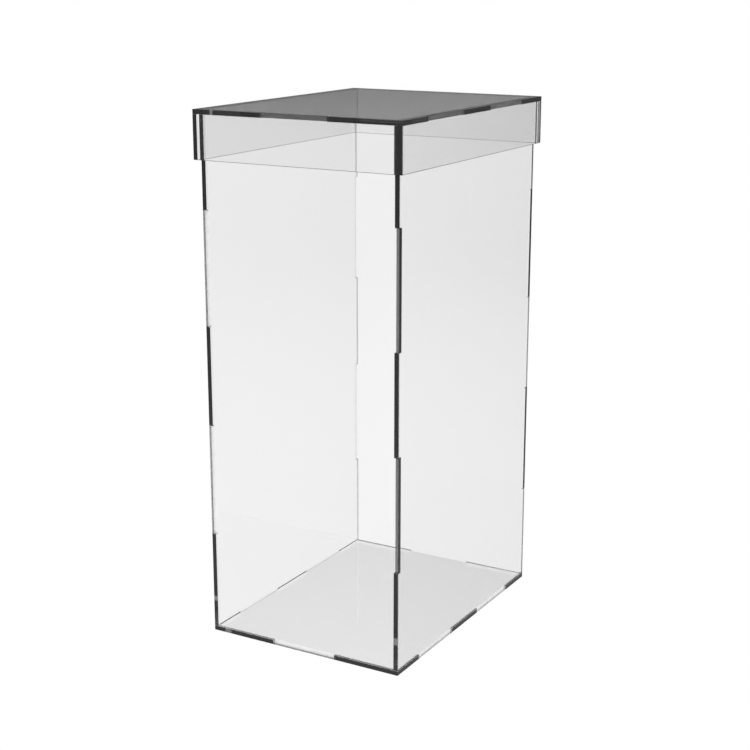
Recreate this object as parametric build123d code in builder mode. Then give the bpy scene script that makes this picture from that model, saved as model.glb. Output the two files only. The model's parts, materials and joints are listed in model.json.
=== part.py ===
"""Clear acrylic display case with a lift-off lid.

Ten flat parts are laser-cut from one sheet. Five are cemented into a tall case that is open at the top,
and five into a lid that drops over its rim and rests on it. The walls lock into each other and into the
base and the lid's top plate with square fingers.

The origin is the centre of the case's underside. X runs across the narrow walls, Y across the deep ones,
and Z up. All sizes are in millimetres.
"""

import os

from build123d import *

# Driving dimensions
WIDTH = 75.0  # the case, across its front wall
DEPTH = 100.0  # the case, across its side walls
HEIGHT = 185.0  # from the underside of the base to the top of the closed lid
SHEET = 1.6  # thickness of every part
KERF = 0.05  # gap that the laser leaves between a finger and its notch
LID_SKIRT = 15.0  # how far the lid's skirts hang below its top plate
LID_PLAY = 0.2  # space between a skirt and the case's wall, on each side
SEAT_GAP = 0.05  # between the closed lid's top plate and the case's rim

# Fingers
TAB = 25.0  # length of every tab that enters the base or the lid's top plate
SIDE_TAB_PITCH = 45.0  # between the centres of a side wall's two tabs
CORNER_STEPS = [35.0, 75.0, 110.0, 150.0]  # heights above the base where the corner fingers change over

# Derived dimensions
RIM = HEIGHT - SHEET - SEAT_GAP  # top edge of the case's walls
LID_UNDERSIDE = HEIGHT - SHEET
LID_WIDTH = WIDTH + 2 * (LID_PLAY + SHEET)
LID_DEPTH = DEPTH + 2 * (LID_PLAY + SHEET)
FRONT_TABS = [0.0]  # centres of the tabs along a front or back wall
SIDE_TABS = [-SIDE_TAB_PITCH / 2, SIDE_TAB_PITCH / 2]  # centres along a side wall


def block(low, high, mode=Mode.ADD):
    """A rectangle of the current sketch between two corners."""
    centre = ((low[0] + high[0]) / 2, (low[1] + high[1]) / 2)
    with Locations(centre):
        Rectangle(high[0] - low[0], high[1] - low[1], mode=mode)


def tabs(centres, root, tip):
    """Tabs of a wall, from its shoulder at height root to the outer face that they come flush with."""
    for centre in centres:
        block((centre - TAB / 2, min(root, tip)), (centre + TAB / 2, max(root, tip)))


def corner_fingers(span, bands):
    """Fingers of a wall at both its upright edges, each out to the neighbouring wall's outer face."""
    reach = SHEET + KERF
    for low, high in bands:
        for side in (-1, 1):
            inner = side * (span / 2 - reach)
            outer = side * span / 2
            block((min(inner, outer), low), (max(inner, outer), high))


def case_wall(span, tab_centres, bands):
    """Outline of one case wall, its foot on the base plate's top face."""
    shoulder = SHEET + KERF
    inset = SHEET + KERF
    block((inset - span / 2, shoulder), (span / 2 - inset, RIM))
    tabs(tab_centres, shoulder, 0)
    corner_fingers(span, bands)


def lid_skirt(span, tab_centres):
    """Outline of one skirt of the lid, its tabs flush with the top plate."""
    shoulder = LID_UNDERSIDE - KERF
    block((-span / 2, LID_UNDERSIDE - LID_SKIRT), (span / 2, shoulder))
    tabs(tab_centres, shoulder, HEIGHT)


def notched_plate(width, depth):
    """Outline of the base or of the lid's top plate, with a notch for each tab of the four walls."""
    Rectangle(width, depth)
    notch_length = TAB + 2 * KERF
    notch_reach = SHEET + KERF
    front_places = [(x, side * depth / 2) for x in FRONT_TABS for side in (-1, 1)]
    side_places = [(side * width / 2, y) for y in SIDE_TABS for side in (-1, 1)]
    with Locations(*front_places):
        Rectangle(notch_length, 2 * notch_reach, mode=Mode.SUBTRACT)
    with Locations(*side_places):
        Rectangle(2 * notch_reach, notch_length, mode=Mode.SUBTRACT)


def finger_bands():
    """Height bands of the side walls' corner fingers and of the front and back walls' fingers.

    The side walls have the lowest band, and the bands alternate up to the rim.
    """
    steps = [0.0] + CORNER_STEPS + [RIM - SHEET]
    edges = [SHEET + step for step in steps]
    last = len(steps) - 2
    bands = []
    for index in range(len(steps) - 1):
        low = edges[index] + KERF / 2 if index > 0 else edges[index] + KERF
        high = edges[index + 1] - KERF / 2 if index < last else RIM
        bands.append((low, high))
    return bands[0::2], bands[1::2]


side_bands, front_bands = finger_bands()

# The case

with BuildPart() as base_panel:
    with BuildSketch(Plane.XY):
        notched_plate(WIDTH, DEPTH)
    extrude(amount=SHEET)

with BuildPart() as front_panel:
    with BuildSketch(Plane.XZ.offset(DEPTH / 2)):
        case_wall(WIDTH, FRONT_TABS, front_bands)
    extrude(amount=-SHEET)

with BuildPart() as back_panel:
    mirror(front_panel.part, about=Plane.XZ)

with BuildPart() as right_panel:
    with BuildSketch(Plane.YZ.offset(WIDTH / 2)):
        case_wall(DEPTH, SIDE_TABS, side_bands)
    extrude(amount=-SHEET)

with BuildPart() as left_panel:
    mirror(right_panel.part, about=Plane.YZ)

# The lid: the side skirts run its full depth, and the front and back ones stand between them

with BuildPart() as lid_top:
    with BuildSketch(Plane.XY.offset(LID_UNDERSIDE)):
        notched_plate(LID_WIDTH, LID_DEPTH)
    extrude(amount=SHEET)

with BuildPart() as lid_front_skirt:
    with BuildSketch(Plane.XZ.offset(LID_DEPTH / 2)):
        lid_skirt(LID_WIDTH - 2 * (SHEET + KERF), FRONT_TABS)
    extrude(amount=-SHEET)

with BuildPart() as lid_back_skirt:
    mirror(lid_front_skirt.part, about=Plane.XZ)

with BuildPart() as lid_right_skirt:
    with BuildSketch(Plane.YZ.offset(LID_WIDTH / 2)):
        lid_skirt(LID_DEPTH, SIDE_TABS)
    extrude(amount=-SHEET)

with BuildPart() as lid_left_skirt:
    mirror(lid_right_skirt.part, about=Plane.YZ)

pieces = {
    "base_panel": base_panel,
    "front_panel": front_panel,
    "back_panel": back_panel,
    "left_panel": left_panel,
    "right_panel": right_panel,
    "lid_top": lid_top,
    "lid_front_skirt": lid_front_skirt,
    "lid_back_skirt": lid_back_skirt,
    "lid_left_skirt": lid_left_skirt,
    "lid_right_skirt": lid_right_skirt,
}

os.makedirs("parts", exist_ok=True)
for name, piece in pieces.items():
    piece.part.label = name
    export_step(piece.part, f"parts/{name}.step")
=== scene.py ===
"""Looks of the clear acrylic display case: its acrylic, the floor, the light and the camera.

Every length is in metres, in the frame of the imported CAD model: +Z up, the front wall facing -Y.
"""

import json
import math

import bpy
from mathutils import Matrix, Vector


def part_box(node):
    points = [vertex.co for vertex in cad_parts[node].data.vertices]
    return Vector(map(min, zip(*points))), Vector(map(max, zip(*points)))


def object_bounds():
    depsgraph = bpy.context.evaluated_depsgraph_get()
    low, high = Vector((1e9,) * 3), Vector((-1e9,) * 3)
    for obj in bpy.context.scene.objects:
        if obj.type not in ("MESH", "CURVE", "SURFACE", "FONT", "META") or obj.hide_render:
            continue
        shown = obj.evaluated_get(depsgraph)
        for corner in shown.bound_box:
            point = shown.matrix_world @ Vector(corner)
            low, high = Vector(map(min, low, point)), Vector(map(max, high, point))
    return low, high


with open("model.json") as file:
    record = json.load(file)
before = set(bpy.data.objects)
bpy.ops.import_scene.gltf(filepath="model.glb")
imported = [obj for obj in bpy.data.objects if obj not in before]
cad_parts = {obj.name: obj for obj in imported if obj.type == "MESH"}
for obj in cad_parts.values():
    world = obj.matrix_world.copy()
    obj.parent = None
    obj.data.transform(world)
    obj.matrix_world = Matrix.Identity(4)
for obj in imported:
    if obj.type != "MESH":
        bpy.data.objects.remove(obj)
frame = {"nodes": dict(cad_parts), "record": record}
cad_box = [list(corner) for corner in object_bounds()]

MM = 0.001

# Camera
CAMERA_AZIMUTH = math.radians(29.9)  # round from straight ahead of the front wall, towards the right wall
CAMERA_ELEVATION = math.radians(15.0)
CAMERA_DISTANCE = 0.5502
CAMERA_LENS = 73.35  # millimetres, on a sensor 36 wide
SENSOR_WIDTH = 36.0  # millimetres
CAMERA_NEAREST = 0.01  # the camera sees nothing closer than this
AIM_BELOW_CENTRE = 0.0045  # the camera aims this far below the middle of the closed case

# Floor and light. The studio is white, and dims only in what the acrylic mirrors.
FLOOR_RADIUS = 40.0
FLOOR_SIDES = 64
FLOOR_GAP = 0.2 * MM  # below the base, so that the two faces don't coincide
FLOOR_MIRRORED_NEAR = 0.465  # strength of the mirrored floor beside the case
FLOOR_MIRRORED_FAR = 0.16
FLOOR_MIRRORED_FROM = 0.1  # distance from the case's middle where the mirrored floor starts to dim
FLOOR_MIRRORED_TO = 0.8
AT_LEAST_ONCE = 0.5  # a count of reflections or scatterings above this is 1 or more
SKY_MIRRORED = [  # sine of elevation, strength
    (0.0, 0.16),
    (0.22, 0.16),
    (0.35, 0.07),
    (0.6, 0.12),
    (1.0, 0.4),
]

# Acrylic
ACRYLIC_IOR = 1.49
SQUARELY = 0.5  # a face that points along a direction by more than this faces it: all faces are square
ON_OUTSIDE = 0.02 * MM  # a cut face this close to the body's box is an exposed one
CUT_FROST = 0.3  # share of light that an exposed laser-cut face scatters
CUT_PAINTED_SHADE = 0.08  # share of the scattered light that comes back out of it: a painted shade, darker than satin acrylic, standing in for the dark look of edges that trap light inside the sheet
DARKER_PAINTED_SHADE_CUTS = {"front_panel": (0.7, 0.03)}  # frost and painted shade of a panel whose cut edges are painted darker still
CUT_ROUGHNESS = 0.08

# Joints, where cut faces are cemented to a neighbour. The cement leaves a haze, or welds them clear.
HAZE = {"base_panel": 1.0, "left_panel": 1.0, "back_panel": 1.0, "front_panel": 0.4, "right_panel": 0.2}
LID_HAZE = 0.1
HAZE_ROUGHNESS = 0.5
CLEAR_LIP = (0.05 * MM, 0.14 * MM)  # the haze fades out this close to the outside of the sheet
JOINT_REACH = 1.66 * MM  # how far a joint reaches in from the outside of the case or the lid
WELDED_ENDS = {  # share of the upright joints at a panel's ends that is clear
    "front_panel": {"left": 1.0},
    "back_panel": {"left": 0.4, "right": 1.0},
    "left_panel": {"back": 0.9},
    "right_panel": {"back": 1.0},
    "lid_front_skirt": {"left": 1.0},
    "lid_back_skirt": {"left": 0.8},
}
WAYS = {"left": (0, -1.0), "right": (0, 1.0), "back": (1, 1.0)}  # axis and direction
WELDED_TABS = ["base_panel", "left_panel", "right_panel", "back_panel"]  # along the left and back walls
FAR_WALLS = ["left_panel", "back_panel"]  # clear round the corner where they meet, and on their tabs' tips

# Painted highlights: lighter patches painted into the painted shade of the front cut edges
HIGHLIGHT_FADE = (0.35, 0.6)  # where a painted highlight starts to fade and is gone, as shares of its length from its middle
PAINTED_HIGHLIGHTS = {  # axis, place, length and the painted highlight's tint
    "base_panel": (0, -31.7 * MM, 2.8 * MM, 0.55),
    "lid_top": (0, -31.8 * MM, 1.2 * MM, 0.55),
    "left_panel": (2, 12.2 * MM, 1.8 * MM, 0.7),
    "right_panel": (2, 12.2 * MM, 2.6 * MM, 0.7),
}

# Fine detail. Each BAND is the range of a noise's values over which the detail goes from least to most.
STRIATION_PITCH = 0.35 * MM  # of the lines that the laser leaves across a cut edge
STRIATION_BAND = (0.3, 0.7)
STRIATION_DEPTH = 0.3
STRIATION_DETAIL = 3.0
PATCH_SIZE = 2.5 * MM  # of the patches of cement
PATCH_BAND = (0.35, 0.65)
PATCH_DEPTH = 0.06  # share of the haze that is missing between the patches
SCRATCH_WIDTH = 0.25 * MM
SCRATCH_STRETCH = 60  # length of a scratch over its width
SCRATCH_BAND = (0.7, 0.76)
SCRATCH_ROUGHNESS = 0.02
SMUDGE_SIZE = 22 * MM
SMUDGE_BAND = (0.5, 0.75)
SMUDGE_FROST = 0.006


def node_tree(owner):
    """The owner's node tree, emptied."""
    owner.use_nodes = True
    owner.node_tree.nodes.clear()
    return owner.node_tree


class Graph:
    """Short names for making and linking nodes in one tree."""

    def __init__(self, owner):
        self.tree = node_tree(owner)

    def node(self, kind, **settings):
        made = self.tree.nodes.new(kind)
        for name, value in settings.items():
            setattr(made, name, value)
        return made

    def feed(self, socket, value):
        """Link a socket to another node's output, or set it to a plain value."""
        if isinstance(value, bpy.types.NodeSocket):
            self.tree.links.new(value, socket)
        else:
            socket.default_value = value

    def math(self, operation, *values):
        made = self.node("ShaderNodeMath", operation=operation)
        for socket, value in zip(made.inputs, values):
            self.feed(socket, value)
        return made.outputs[0]

    def vector(self, operation, *values, output="Vector"):
        made = self.node("ShaderNodeVectorMath", operation=operation)
        for socket, value in zip(made.inputs, values):
            self.feed(socket, value)
        return made.outputs[output]

    def split(self, value):
        """x, y and z of a vector."""
        made = self.node("ShaderNodeSeparateXYZ")
        self.feed(made.inputs[0], value)
        return made.outputs[0], made.outputs[1], made.outputs[2]

    def remap(self, value, from_range, to_range, kind="LINEAR"):
        made = self.node("ShaderNodeMapRange", interpolation_type=kind)
        self.feed(made.inputs["Value"], value)
        self.feed(made.inputs["From Min"], from_range[0])
        self.feed(made.inputs["From Max"], from_range[1])
        self.feed(made.inputs["To Min"], to_range[0])
        self.feed(made.inputs["To Max"], to_range[1])
        return made.outputs["Result"]

    def blend(self, factor, low, high):
        """low where the factor is 0, high where it is 1."""
        made = self.node("ShaderNodeMix", data_type="FLOAT")
        for socket, value in zip((made.inputs[0], made.inputs[2], made.inputs[3]), (factor, low, high)):
            self.feed(socket, value)
        return made.outputs[0]

    def noise(self, place, scale, detail=2.0):
        made = self.node("ShaderNodeTexNoise")
        self.feed(made.inputs["Vector"], place)
        self.feed(made.inputs["Scale"], scale)
        self.feed(made.inputs["Detail"], detail)
        return made.outputs["Fac"]


def make_camera(box):
    low, high = (Vector(corner) for corner in box)
    centre = (low + high) / 2
    aim = Vector((0, 0, centre.z - AIM_BELOW_CENTRE))
    back = Vector(
        (
            math.sin(CAMERA_AZIMUTH) * math.cos(CAMERA_ELEVATION),
            -math.cos(CAMERA_AZIMUTH) * math.cos(CAMERA_ELEVATION),
            math.sin(CAMERA_ELEVATION),
        )
    )
    data = bpy.data.cameras.new("camera")
    data.lens = CAMERA_LENS
    data.sensor_width = SENSOR_WIDTH
    data.clip_start = CAMERA_NEAREST
    data.clip_end = 2 * FLOOR_RADIUS
    camera = bpy.data.objects.new("camera", data)
    camera.location = aim + back * CAMERA_DISTANCE
    camera.rotation_euler = (-back).to_track_quat("-Z", "Y").to_euler()
    bpy.context.scene.collection.objects.link(camera)
    bpy.context.scene.camera = camera


def white_but_mirrored(graph, mirrored):
    """Strength 1 for what is seen directly or through the acrylic, and mirrored for what it reflects.

    Light that a hazed or frosted face has scattered gets strength 1 too.
    """
    path = graph.node("ShaderNodeLightPath")
    reflected = graph.math("GREATER_THAN", path.outputs["Glossy Depth"], AT_LEAST_ONCE)
    scattered = graph.math("GREATER_THAN", path.outputs["Diffuse Depth"], AT_LEAST_ONCE)
    sharp = graph.math("MULTIPLY", reflected, graph.math("SUBTRACT", 1.0, scattered))
    return graph.blend(sharp, 1.0, mirrored)


def make_world():
    """A white sky, dimmer where the acrylic mirrors it."""
    world = bpy.data.worlds.new("studio")
    bpy.context.scene.world = world
    graph = Graph(world)
    coord = graph.node("ShaderNodeTexCoord")
    height = graph.split(coord.outputs["Generated"])[2]
    ramp = graph.node("ShaderNodeValToRGB")
    elements = ramp.color_ramp.elements
    while len(elements) < len(SKY_MIRRORED):
        elements.new(1.0)
    for element, (position, strength) in zip(elements, SKY_MIRRORED):
        element.position = position
        element.color = (strength, strength, strength, 1)
    graph.feed(ramp.inputs[0], height)
    background = graph.node("ShaderNodeBackground")
    background.inputs["Color"].default_value = (1, 1, 1, 1)
    graph.feed(background.inputs["Strength"], white_but_mirrored(graph, ramp.outputs[0]))
    out = graph.node("ShaderNodeOutputWorld")
    graph.feed(out.inputs["Surface"], background.outputs[0])


def make_floor(height):
    """A wide white disc, dimmer where the acrylic mirrors it."""
    angles = [math.tau * i / FLOOR_SIDES for i in range(FLOOR_SIDES)]
    points = [(FLOOR_RADIUS * math.cos(a), FLOOR_RADIUS * math.sin(a), height) for a in angles]
    mesh = bpy.data.meshes.new("floor")
    mesh.from_pydata(points, [], [range(FLOOR_SIDES)])
    floor = bpy.data.objects.new("floor", mesh)
    bpy.context.scene.collection.objects.link(floor)
    material = bpy.data.materials.new("floor")
    graph = Graph(material)
    coord = graph.node("ShaderNodeTexCoord")
    distance = graph.vector("LENGTH", coord.outputs["Object"], output="Value")
    mirrored = graph.remap(
        distance,
        (FLOOR_MIRRORED_FROM, FLOOR_MIRRORED_TO),
        (FLOOR_MIRRORED_NEAR, FLOOR_MIRRORED_FAR),
        "SMOOTHSTEP",
    )
    glow = graph.node("ShaderNodeEmission")
    glow.inputs["Color"].default_value = (1, 1, 1, 1)
    graph.feed(glow.inputs["Strength"], white_but_mirrored(graph, mirrored))
    out = graph.node("ShaderNodeOutputMaterial")
    graph.feed(out.inputs["Surface"], glow.outputs[0])
    mesh.materials.append(material)


def body_box(body):
    """Lowest and highest corners of all of a body's nodes."""
    boxes = [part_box(node) for node in frame["record"]["behaviour"]["bodies"][body]]
    low = Vector([min(box[0][k] for box in boxes) for k in range(3)])
    high = Vector([max(box[1][k] for box in boxes) for k in range(3)])
    return low, high


def thickness_axis(node):
    """Axis, 0 to 2, along which a panel is thinnest."""
    low, high = (Vector(corner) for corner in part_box(node))
    size = high - low
    return min(range(3), key=lambda k: size[k])


def facing(graph, coord, direction):
    """How directly a face points in a direction: 1 straight along it, 0 across it, -1 against it."""
    return graph.vector("DOT_PRODUCT", coord.outputs["Normal"], direction, output="Value")


def unit(axis, value=1.0):
    """A vector along one axis."""
    return [value if k == axis else 0.0 for k in range(3)]


def cut_masks(graph, coord, axis, low, high):
    """Masks of a panel's exposed laser-cut faces and of its cemented ones.

    Also gives how deep each point is inside the body's box, along x, y and z, and a mask of the faces
    that lie inside it.
    """
    across_sheet = graph.math("ABSOLUTE", facing(graph, coord, unit(axis)))
    cut = graph.math("LESS_THAN", across_sheet, SQUARELY)
    from_centre = graph.vector("SUBTRACT", coord.outputs["Object"], (low + high) / 2)
    depth = graph.vector("SUBTRACT", (high - low) / 2, graph.vector("ABSOLUTE", from_centre))
    normal = graph.vector("ABSOLUTE", coord.outputs["Normal"])
    inwards = graph.vector("DOT_PRODUCT", normal, depth, output="Value")
    inner = graph.math("GREATER_THAN", inwards, ON_OUTSIDE)
    joint = graph.math("MULTIPLY", cut, inner)
    return graph.math("SUBTRACT", cut, joint), joint, depth, inner


def off_underside(graph, coord):
    """0 on the tips of a wall's tabs, and 1 elsewhere."""
    height = graph.vector("DOT_PRODUCT", coord.outputs["Object"], unit(2), output="Value")
    return graph.math("GREATER_THAN", height, ON_OUTSIDE)


def painted_highlight(graph, coord, name):
    """1 on a panel's painted highlight on its front cut edges, fading out at its ends."""
    if name not in PAINTED_HIGHLIGHTS:
        return 0.0
    axis, place, length, _ = PAINTED_HIGHLIGHTS[name]
    along = graph.vector("DOT_PRODUCT", coord.outputs["Object"], unit(axis), output="Value")
    distance = graph.math("ABSOLUTE", graph.math("SUBTRACT", along, place))
    near = graph.remap(distance, [length * share for share in HIGHLIGHT_FADE], (1.0, 0.0), "SMOOTHSTEP")
    front = graph.math("GREATER_THAN", facing(graph, coord, (0, -1, 0)), SQUARELY)
    return graph.math("MULTIPLY", near, front)


def cut_edge(graph, coord, axis, name):
    """Frost, painted shade and roughness of the exposed cut edges, with the laser's lines across them. The
    satin frost is the cut's own; its dark grey colour is painted shade, standing in for the dark look of
    edges that trap light inside the sheet, lightened by painted highlights where they are listed.
    """
    frost, painted_edge_shade = DARKER_PAINTED_SHADE_CUTS.get(name, (CUT_FROST, CUT_PAINTED_SHADE))
    in_sheet = [0.0 if k == axis else 1.0 for k in range(3)]
    along_edge = graph.vector("MULTIPLY", coord.outputs["Object"], in_sheet)
    lines = graph.noise(along_edge, 1 / STRIATION_PITCH, STRIATION_DETAIL)
    swell = graph.remap(lines, STRIATION_BAND, (1 - STRIATION_DEPTH, 1 + STRIATION_DEPTH))
    painted_edge_shade = graph.math("MULTIPLY", painted_edge_shade, swell)
    # Painted highlights lighten the painted shade of the edge where they are listed
    highlight_tint = PAINTED_HIGHLIGHTS[name][3] if name in PAINTED_HIGHLIGHTS else 0.0
    painted_edge_shade = graph.blend(painted_highlight(graph, coord, name), painted_edge_shade, highlight_tint)
    return frost, painted_edge_shade, graph.math("MULTIPLY", CUT_ROUGHNESS, swell)


def cement(graph, coord, axis, depth, name):
    """Haze of the joint faces, patchy and fading out at the outside of the sheet."""
    patches = graph.noise(coord.outputs["Object"], 1 / PATCH_SIZE)
    haze = HAZE.get(name, LID_HAZE)
    lip = graph.vector("DOT_PRODUCT", depth, unit(axis), output="Value")
    patchy = graph.remap(patches, PATCH_BAND, (haze * (1 - PATCH_DEPTH), haze), "SMOOTHSTEP")
    return graph.math("MULTIPLY", patchy, graph.remap(lip, CLEAR_LIP, (0.0, 1.0), "SMOOTHSTEP"))


def half(graph, coord, way):
    """1 on the half of the case that lies to the left, right or back."""
    axis, direction = WAYS[way]
    along = graph.vector("DOT_PRODUCT", coord.outputs["Object"], unit(axis, direction), output="Value")
    return graph.math("GREATER_THAN", along, 0.0)


def off_far_cuts(graph, coord):
    """0 on faces square to the left on the left half, or to the back on the back half, and 1 elsewhere."""
    far = 0.0
    for way in ("left", "back"):
        across = graph.math("ABSOLUTE", facing(graph, coord, unit(WAYS[way][0])))
        faces_it = graph.math("GREATER_THAN", across, SQUARELY)
        far = graph.math("MAXIMUM", far, graph.math("MULTIPLY", faces_it, half(graph, coord, way)))
    return graph.math("SUBTRACT", 1.0, far)


def near_end(graph, coord, depth, way):
    """1 within a joint's reach of the outside of the case or the lid, on one side of it."""
    reached = graph.math("LESS_THAN", graph.split(depth)[WAYS[way][0]], JOINT_REACH)
    return graph.math("MULTIPLY", reached, half(graph, coord, way))


def upright(graph, coord):
    """1 on upright faces, and 0 on level ones."""
    return graph.math("LESS_THAN", graph.math("ABSOLUTE", facing(graph, coord, unit(2))), SQUARELY)


def above_base(graph, coord):
    """1 above the joints between the walls and the base."""
    height = graph.split(coord.outputs["Object"])[2]
    return graph.math("GREATER_THAN", height, JOINT_REACH)


def welded_ends(graph, coord, joint, depth, name):
    """How clear the cement has made the upright joints at a panel's ends."""
    clear = 0.0
    for way, share in WELDED_ENDS.get(name, {}).items():
        end = graph.math("MULTIPLY", near_end(graph, coord, depth, way), share)
        clear = graph.math("MAXIMUM", clear, end)
    faces = graph.math("MULTIPLY", joint, upright(graph, coord))
    return graph.math("MULTIPLY", graph.math("MULTIPLY", faces, above_base(graph, coord)), clear)


def welded_corner(graph, coord, wide, depth):
    """1 on the wide faces that lie inside the joint between the left and back walls."""
    left = near_end(graph, coord, depth, "left")
    back = near_end(graph, coord, depth, "back")
    corner = graph.math("MULTIPLY", graph.math("MULTIPLY", left, back), above_base(graph, coord))
    return graph.math("MULTIPLY", wide, corner)


def welded_tabs(graph, coord, depth, inner):
    """1 on the upright faces within the base, round the left and back walls' tabs."""
    left_or_back = graph.math(
        "MAXIMUM",
        near_end(graph, coord, depth, "left"),
        near_end(graph, coord, depth, "back"),
    )
    in_base = graph.math("SUBTRACT", 1.0, above_base(graph, coord))
    faces = graph.math("MULTIPLY", graph.math("MULTIPLY", inner, upright(graph, coord)), in_base)
    return graph.math("MULTIPLY", faces, left_or_back)


def welded(graph, coord, joint, depth, inner, name):
    """How clear the cement has made each point: 1 where the joint can't be seen at all."""
    clear = welded_ends(graph, coord, joint, depth, name)
    if name in FAR_WALLS:
        wide = graph.math("SUBTRACT", inner, joint)
        clear = graph.math("MAXIMUM", clear, welded_corner(graph, coord, wide, depth))
    if name in WELDED_TABS:
        clear = graph.math("MAXIMUM", clear, welded_tabs(graph, coord, depth, inner))
    return clear


def wide_face(graph, coord, axis):
    """Roughness and frost of the polished faces: hairline scratches and faint smudges."""
    run = 2 if axis != 2 else 1
    squeezed = [1 / SCRATCH_STRETCH if k == run else 1.0 for k in range(3)]
    streaks = graph.noise(graph.vector("MULTIPLY", coord.outputs["Object"], squeezed), 1 / SCRATCH_WIDTH)
    scratches = graph.remap(streaks, SCRATCH_BAND, (0.0, SCRATCH_ROUGHNESS))
    clouds = graph.noise(coord.outputs["Object"], 1 / SMUDGE_SIZE)
    return scratches, graph.remap(clouds, SMUDGE_BAND, (0.0, SMUDGE_FROST), "SMOOTHSTEP")


def acrylic(name, low, high):
    """One panel's clear sheet. low and high are the corners of the body that it belongs to."""
    material = bpy.data.materials.new(name + "_acrylic")
    graph = Graph(material)
    coord = graph.node("ShaderNodeTexCoord")
    axis = thickness_axis(name)
    exposed, joint, depth, inner = cut_masks(graph, coord, axis, low, high)
    if name in FAR_WALLS:
        exposed = graph.math("MULTIPLY", exposed, off_underside(graph, coord))
        exposed = graph.math("MULTIPLY", exposed, off_far_cuts(graph, coord))
    cut = graph.math("ADD", exposed, joint)
    cut_frost, cut_painted_shade, cut_roughness = cut_edge(graph, coord, axis, name)
    scratches, smudges = wide_face(graph, coord, axis)
    haze = graph.math("MULTIPLY", joint, cement(graph, coord, axis, depth, name))
    frost = graph.blend(cut, smudges, graph.blend(exposed, haze, cut_frost))
    roughness = graph.blend(exposed, HAZE_ROUGHNESS, cut_roughness)
    shader = graph.node("ShaderNodeBsdfPrincipled")
    shader.inputs["IOR"].default_value = ACRYLIC_IOR
    # Base colour is white, except on the exposed cut edges: painted shade there, with painted highlights
    graph.feed(shader.inputs["Base Color"], graph.blend(exposed, 1.0, cut_painted_shade))
    graph.feed(shader.inputs["Roughness"], graph.blend(cut, scratches, roughness))
    graph.feed(shader.inputs["Transmission Weight"], graph.math("SUBTRACT", 1.0, frost))
    if name in WELDED_ENDS or name in WELDED_TABS:
        clear = welded(graph, coord, joint, depth, inner, name)
        graph.feed(shader.inputs["Alpha"], graph.math("SUBTRACT", 1.0, clear))
    out = graph.node("ShaderNodeOutputMaterial")
    graph.feed(out.inputs["Surface"], shader.outputs[0])
    return material


make_camera(cad_box)
make_world()
make_floor(cad_box[0][2] - FLOOR_GAP)

for body, names in frame["record"]["behaviour"]["bodies"].items():
    low, high = body_box(body)
    for name in names:
        panel = frame["nodes"][name]
        panel.data.materials.clear()
        panel.data.materials.append(acrylic(name, low, high))

bpy.context.scene.view_settings.view_transform = "Standard"
bpy.context.scene.cycles.blur_glossy = 0.0  # at its default of 1 the hazed joints come out too dark
